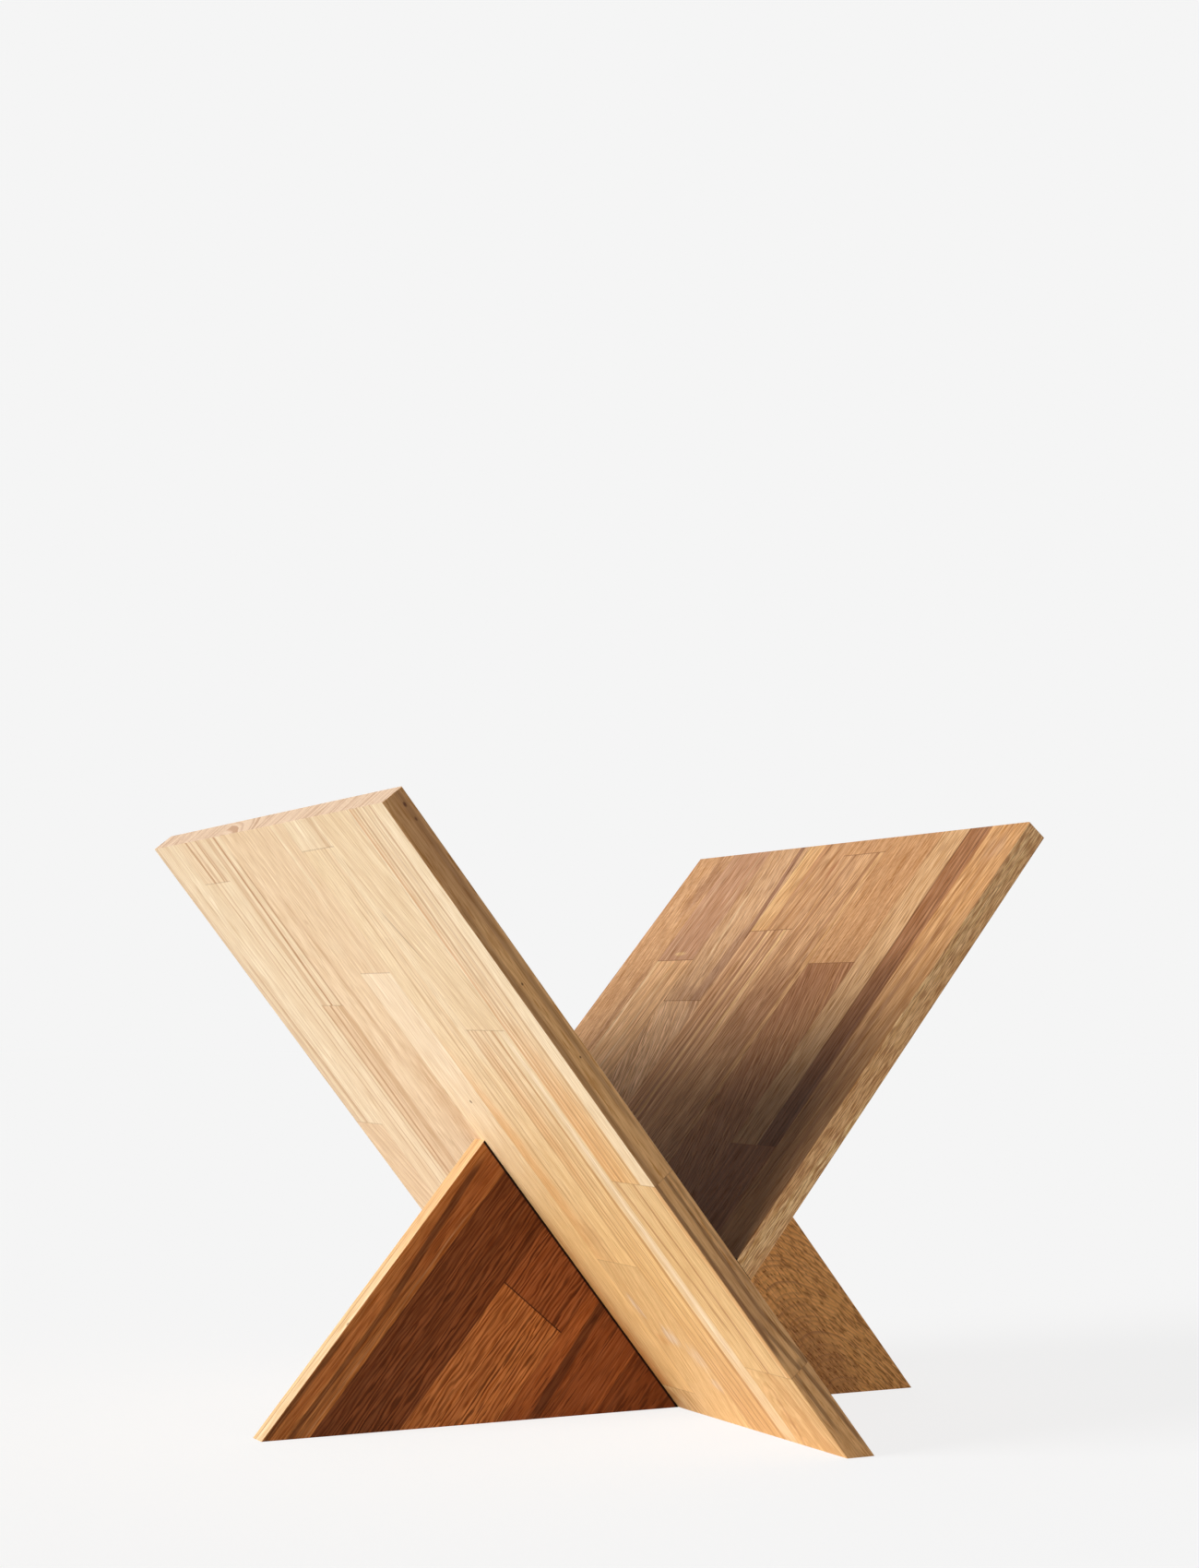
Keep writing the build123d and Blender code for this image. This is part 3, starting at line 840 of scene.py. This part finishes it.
class Stave(Finish):
    """The oak of one stave, drawn in its board's grain frame."""

    def __init__(self, name, board, look, piece, seed):
        super().__init__(bpy.data.materials.new(name))
        self.board = board
        self.look = look
        self.seed = seed
        self.low, self.high = board.grain.extent(piece)
        coordinates = self.node("ShaderNodeTexCoord")
        self.place = coordinates.outputs["Object"]
        self.normal = coordinates.outputs["Normal"]
        self.grain = self.placed(self.place, *board.grain.mapping())
        axes = self.node("ShaderNodeSeparateXYZ", {}, {0: self.grain})
        self.across, self.along, self.through = (Value(self, axes.outputs[i]) for i in range(3))
        self.run = self.along - (self.low.y + self.high.y) / 2      # from the stave's middle
        self.lay_grain()
        self.grow_rings()
        self.draw_fibres()
        self.edge = self.facing(board.grain.across)
        self.end = self.facing(board.grain.along)

    def piece_of(self, pattern, vector=None):
        """The stave's own piece of a pattern, in its grain frame or by another vector."""
        return self.noise(self.grain if vector is None else vector, pattern, self.seed)

    def lay_grain(self):
        """The grain wanders a little, and more slowly along the stave than across it."""
        self.wander = (self.piece_of(WANDER) - 0.5) * (WANDER_REACH * self.look.wander)
        ripple = (self.piece_of(RIPPLE) - 0.5) * (RIPPLE_REACH * self.look.wander)
        self.sway = ripple * 0.6 + self.wander * 0.15
        self.course = self.across + self.run * self.look.slant + self.wander + ripple

    def grow_rings(self):
        """Growth rings: distance from the heart, counted in rings of uneven width and strength."""
        look = self.look
        turn = math.radians(look.turn)
        x = self.course - ((self.low.x + self.high.x) / 2 + look.far * math.cos(turn))
        z = self.through + look.far * math.sin(turn) + self.run * look.arch + self.wander * 0.6
        self.radius = (x * x + z * z).math("SQRT")
        line = {"noise_dimensions": "1D"}
        growth = {"W": self.radius * GROWTH_SCALE + self.seed, "Scale": 1.0}
        count = self.radius / look.rings + self.value("ShaderNodeTexNoise", line, growth) * RING_UNEVEN
        ring = count.math("FLOOR")
        within = count - ring
        strength = self.value("ShaderNodeTexWhiteNoise", line, {"W": ring + self.seed})
        strength = strength * (1 - FAINTEST_RING) + FAINTEST_RING
        self.late = within.rise(*LATE_GROWS) * within.fall(*LATE_ENDS) * strength
        self.early = within.fall(*EARLY_ENDS)

    def flow(self):
        """Where the fine grain is read: along the rings, or turned a little from the grain."""
        if self.look.dash_slant:
            return self.turned(self.grain, self.look.dash_slant)
        inputs = {0: self.radius, 1: self.along, 2: self.through + self.course * 0.25}
        return self.node("ShaderNodeCombineXYZ", {}, inputs).outputs[0]

    def draw_fibres(self):
        """Pores in dashes, fine lines and fibres, and broad streaks and clouds."""
        look = self.look
        flow = self.flow()
        dashes = self.piece_of(look.dashes(DASH_CELLS, 3.1, detail=1.0), flow)
        if look.ridges:
            drift = self.piece_of(look.dashes(DRIFT_CELLS, 3.9), flow) * DRIFT_REACH
            self.ridge = ((self.radius / look.dash[0] + drift) * math.tau).math("SINE") * look.ridges
            dashes = dashes + self.ridge
        self.pore = dashes.rise(*PORE_SHOWS) * (self.early * 0.5 + 0.5)
        self.figure = self.piece_of(FIGURE, flow) - 0.5
        self.fibre = self.piece_of(FIBRE, flow) - 0.5
        self.streak = self.piece_of(STREAK) - 0.5
        self.cloud = self.piece_of(CLOUD) - 0.5

    def facing(self, direction):
        """1 on the two sides of the stave that face a direction, and 0 on the others."""
        return self.vector("DOT_PRODUCT", self.normal, direction).size().rise(*SIDE_TURNS)

    def veined(self, colour, veins, sideways):
        """Colour with veins, which sway with the grain. Sideways is the coordinate that they cross."""
        for vein in veins:
            (start, low), (end, high) = vein.start, vein.end
            steer = (end - start) / (high - low)
            away = (sideways - start - (self.along - low) * steer + self.sway).size()
            share = away.fall(vein.width / 2, vein.width / 2 + vein.soft) * vein.amount
            if low > self.low.y + VEIN_END:
                share = share * self.along.rise(low - VEIN_END, low + VEIN_END)
            if high < self.high.y - VEIN_END:
                share = share * self.along.fall(high - VEIN_END, high + VEIN_END)
            colour = self.mix(share, colour, vein.colour)
        return colour

    def patched(self, colour, stain, scale, centre):
        """Colour with a patch, stain or painted light or shade, whose ellipsoid has a scale and a centre in
        the grain frame.
        """
        shift = tuple(-c * s for c, s in zip(centre, scale))
        distance = self.vector("LENGTH", self.placed(self.grain, shift, scale=scale))
        rough = self.piece_of(RAGGED) - 0.5
        share = (distance + rough * stain.ragged).fall(*STAIN_RIM) * stain.amount
        return self.mix(share, colour, stain.colour)

    def faded(self, colour, blend):
        """Colour with the board's fade of that blend, if it has one: painted light or painted shade. A
        darkening one stays near its face.
        """
        fade = self.board.fade
        if not fade or fade.blend != blend:
            return colour
        share = (self.along + self.across * fade.lean).rise(fade.none_at, fade.full_at)
        share = share * (fade.amount * self.look.fade)
        if blend == "MULTIPLY":
            share = share * (self.through - self.board.shown_face).size().fall(*DARK_DEPTH)
        return self.mix(share, colour, fade.colour, blend)

    def face_shade(self):
        """How much lighter or darker the grain makes the two broad faces."""
        look, board = self.look, self.board
        shade = (self.streak * (STREAK_SHADE * look.streaks) + self.cloud * CLOUD_SHADE) * board.mottle
        shade = shade + self.figure * (FIGURE_SHADE * look.figure * board.texture)
        shade = shade + self.fibre * (FIBRE_SHADE * board.texture)
        if look.flecks:
            fleck = self.piece_of(FLECK, self.turned(self.grain, look.fleck_slant)) - 0.5
            shade = shade + fleck * look.flecks
        if look.ridges:
            shade = shade - self.ridge * RIDGE_SHADE
        return shade

    def face(self):
        """Colour of the two broad faces."""
        look, board = self.look, self.board
        colour = self.faded(look.early, "MIX")
        for stain in look.patches:
            scale = (1 / stain.radii[0], 1 / stain.radii[1], 1 / stain.depth)
            colour = self.patched(colour, stain, scale, (*stain.centre, board.shown_face))
        colour = self.mix(self.late * look.lines, colour, look.late)
        colour = self.veined(colour, look.veins, self.across)
        colour = self.shaded(colour, self.face_shade())
        colour = self.mix(self.pore * (look.pores * board.open_pores), colour, board.pore)
        return self.faded(colour, "MULTIPLY")

    def sawn_edge(self):
        """Colour of the edges along the grain, where a stain has no depth and shows on both."""
        look, board = self.look, self.board
        colour = self.mix(self.late * board.edge_rings, *board.edge)
        colour = self.veined(colour, look.edge_veins, self.through)
        for stain in look.edge_stains:
            scale = (0, 1 / stain.radii[1], 1 / stain.radii[0])
            colour = self.patched(colour, stain, scale, (0, stain.centre[1], stain.centre[0]))
        shade = (self.streak * 0.3 + self.figure * 0.7) * board.mottle + self.fibre * 0.8 - self.pore * 0.3
        colour = self.shaded(colour, shade)
        if board.speckle:
            fleck_tone, strength = board.speckle
            share = self.piece_of(SPECKLE).rise(*SPECKLE_SHOWS) * strength
            colour = self.mix(share, colour, fleck_tone)
        return colour

    def end_grain(self):
        """Colour of the two ends."""
        return self.shaded(self.mix(self.late * 0.9, *self.board.end), self.fibre * 0.6)

    def glued(self, colour, rows, butts):
        """Colour with glue lines at places across and along the board."""
        lines = [(self.across, at, self.board.row_glue) for at in rows]
        lines += [(self.along, at, self.board.butt_glue) for at in butts]
        for coordinate, at, strength in lines:
            share = (coordinate - at).size().fall(*GLUE_LINE) * strength
            colour = self.mix(share, colour, self.board.glue)
        return colour

    def seam_shaded(self, colour):
        """Colour with painted shade in the narrow gaps where the piece meets another board."""
        for point, normal, width, strength in self.board.seams:
            level = self.vector("DOT_PRODUCT", self.place, normal)
            away = ((level - Vector(point).dot(Vector(normal))) / MM).size()
            share = away.fall(width * GAP_HARD, width) * (1 - self.edge) * strength
            colour = self.mix(share, colour, SEAM_SHADE)
        return colour

    def finished(self, rows, butts):
        """The material: faces, sawn edges, end grain and joints, with the relief of pores and fibres."""
        colour = self.mix(self.edge, self.face(), self.sawn_edge())
        colour = self.mix(self.end, colour, self.end_grain())
        colour = self.seam_shaded(self.glued(colour, rows, butts))
        height = 0.6 + self.fibre * 0.3 + self.figure * 0.2 - self.pore * 0.5
        roughness = 0.5 + self.pore * 0.2 - self.fibre * 0.08 + self.end * 0.15
        return self.surface(colour, roughness, height, OAK_RELIEF, self.board.gloss)


def dress_staves():
    """Gives every stave its own oak, with glue lines where it meets the other staves of its board."""
    seed = 1.0
    for board in BOARDS:
        pieces = {key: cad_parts[f"{board.name}_stave_{key}"] for key in board.looks}
        widest = max(board.grain.extent(piece)[1].x for piece in pieces.values())
        for key, piece in pieces.items():
            oak = Stave(f"{board.name}_stave_{key}_oak", board, board.looks[key], piece, seed)
            rows = [x for x in (oak.low.x, oak.high.x) if SIDE_ROOM < x < widest - SIDE_ROOM]
            butts = []
            if key.endswith(("middle", "upper")):
                butts.append(oak.low.y)
            if key.endswith(("middle", "lower")):
                butts.append(oak.high.y)
            piece.data.materials.clear()
            piece.data.materials.append(oak.finished(rows, butts))
            seed += SEED_STEP


BEECH = tone(214, 170, 132)
BEECH_DARK = tone(160, 104, 70)
BEECH_FLECK = Pattern((1.2, 1.2, 1.2), 2.0, detail=3.0)
BEECH_FIBRE = Pattern((0.6, 0.6, 0.6), 5.0)
BEECH_RELIEF = 0.05 * MM
BEECH_GLOSS = 0.4


def beech():
    """Turned beech of the dowels: pale pink with short darker flecks."""
    f = Finish(bpy.data.materials.new("beech_dowel"))
    place = f.node("ShaderNodeTexCoord").outputs["Object"]
    millimetres = f.placed(place, scale=(1 / MM, 1 / MM, 1 / MM))
    fleck = f.noise(millimetres, BEECH_FLECK).rise(0.55, 0.7)
    fibre = f.noise(millimetres, BEECH_FIBRE)
    colour = f.mix(fleck * 0.35 + fibre * 0.2, BEECH, BEECH_DARK)
    return f.surface(colour, 0.55 + fleck * 0.1, fibre, BEECH_RELIEF, BEECH_GLOSS)


def dress_dowels():
    """Gives all dowels one beech."""
    material = beech()
    for name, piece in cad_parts.items():
        if "dowel" in name:
            piece.data.materials.clear()
            piece.data.materials.append(material)


# Light levels: 1 is white
BACKDROP = 0.913
WALLS = 0.60            # from all sides near the horizon
CEILING = 0.06          # from above
LOW_LIGHT = (0.05, 0.70)        # height, from 0 at the horizon to 1 above, over which it dims
FILL = 0.55             # more from the right of the camera, near the horizon
FILL_FROM = (0.75, -0.66, 0)
BACK = 1.50             # more from behind on the right
BACK_FROM = (0.62, 0.78, 0)
BACK_NARROWED = 0.25            # 0 would spread it over half the horizon, as the fill is
KEY = 0.98              # of the lamp on the left
KEY_HEIGHT = math.radians(18.5)     # above the floor
KEY_BEHIND = math.radians(3)        # how far it stands back from straight left
KEY_SPREAD = math.radians(27)

FLOOR = 0.84
FLOOR_HALF = 12.0       # half the floor's side, in metres
FLOOR_LIT = 0.4605      # level of the lit floor far from the holder
SHADOW_SEEN = 0.22      # how much of its shading the floor shows


def grey(level):
    """Neutral colour of a light level."""
    return (level, level, level, 1)


def seen_rays(f):
    """1 for rays that show the surroundings: from the camera, or by reflection or through glass."""
    rays = f.node("ShaderNodeLightPath")
    kinds = ("Camera", "Glossy", "Transmission")
    camera, glossy, clear = (Value(f, rays.outputs[f"Is {kind} Ray"]) for kind in kinds)
    return camera.math("MAXIMUM", glossy).math("MAXIMUM", clear)


def make_floor():
    """A floor that lights the holder as plain pale card does, and shows as backdrop with a faint shadow."""
    mesh = bpy.data.meshes.new("floor")
    bm = bmesh.new()
    bmesh.ops.create_grid(bm, x_segments=1, y_segments=1, size=FLOOR_HALF)
    bm.to_mesh(mesh)
    bm.free()
    floor = bpy.data.objects.new("floor", mesh)
    bpy.context.scene.collection.objects.link(floor)
    f = Finish(bpy.data.materials.new("pale_floor"))
    plain = f.node("ShaderNodeBsdfDiffuse", {}, {"Color": grey(FLOOR)})
    shaded = f.node("ShaderNodeBsdfDiffuse", {}, {"Color": grey(FLOOR * SHADOW_SEEN)})
    glow = f.node("ShaderNodeEmission", {}, {"Strength": BACKDROP - FLOOR_LIT * SHADOW_SEEN})
    shown = f.node("ShaderNodeAddShader", {}, {0: shaded.outputs[0], 1: glow.outputs[0]})
    both = f.node("ShaderNodeMixShader", {}, {0: seen_rays(f), 1: plain.outputs[0], 2: shown.outputs[0]})
    f.node("ShaderNodeOutputMaterial", {}, {"Surface": both.outputs[0]})
    mesh.materials.append(f.owner)


def make_world():
    """Pale room: light near the horizon, dim above, with a broad fill from the right and from behind."""
    world = bpy.data.worlds.new("studio")
    bpy.context.scene.world = world
    f = Finish(world)
    direction = f.node("ShaderNodeTexCoord").outputs["Generated"]
    axes = f.node("ShaderNodeSeparateXYZ", {}, {0: direction})
    low = Value(f, axes.outputs["Z"]).fall(*LOW_LIGHT)
    room = low * (WALLS - CEILING) + CEILING
    fill = f.vector("DOT_PRODUCT", direction, FILL_FROM).rise(0.0, 1.0) * low * FILL
    back = f.vector("DOT_PRODUCT", direction, BACK_FROM).rise(BACK_NARROWED, 1.0) * low * BACK
    light = f.mix(seen_rays(f), room + fill + back, grey(BACKDROP))
    background = f.node("ShaderNodeBackground", {}, {"Color": light})
    f.node("ShaderNodeOutputWorld", {}, {"Surface": background.outputs[0]})


def make_light():
    """A broad soft light from the left, low and slightly behind."""
    lamp = bpy.data.lights.new("key", "SUN")
    lamp.energy = KEY * math.pi
    lamp.angle = KEY_SPREAD
    light = bpy.data.objects.new("key", lamp)
    bpy.context.scene.collection.objects.link(light)
    level = math.cos(KEY_HEIGHT)
    towards = Vector((-level * math.cos(KEY_BEHIND), level * math.sin(KEY_BEHIND), math.sin(KEY_HEIGHT)))
    light.rotation_euler = towards.to_track_quat("Z", "Y").to_euler()


CAMERA_PLACE = (-0.5658, -1.0408, 0.200)
CAMERA_AZIMUTH = math.radians(-28.4072)
CAMERA_PITCH = math.radians(6.0625)
CAMERA_ROLL = math.radians(0.6008)
CAMERA_LENS = 51.44
SENSOR_WIDTH = 36


def make_camera():
    """The photograph's camera, from its place and its three angles."""
    azimuth, pitch, roll = CAMERA_AZIMUTH, CAMERA_PITCH, CAMERA_ROLL
    flat = math.cos(pitch)
    forward = Vector((-math.sin(azimuth) * flat, math.cos(azimuth) * flat, math.sin(pitch)))
    level = Vector((math.cos(azimuth), math.sin(azimuth), 0))
    upright = level.cross(forward)
    right = level * math.cos(roll) + upright * math.sin(roll)
    up = upright * math.cos(roll) - level * math.sin(roll)
    camera = bpy.data.objects.new("camera", bpy.data.cameras.new("camera"))
    bpy.context.scene.collection.objects.link(camera)
    turn = Matrix((right, up, -forward)).transposed().to_4x4()
    camera.matrix_world = Matrix.Translation(CAMERA_PLACE) @ turn
    camera.data.lens = CAMERA_LENS
    camera.data.sensor_width = SENSOR_WIDTH
    bpy.context.scene.camera = camera


make_camera()
make_world()
make_light()
make_floor()
dress_staves()
dress_dowels()
bpy.context.scene.view_settings.view_transform = "Standard"
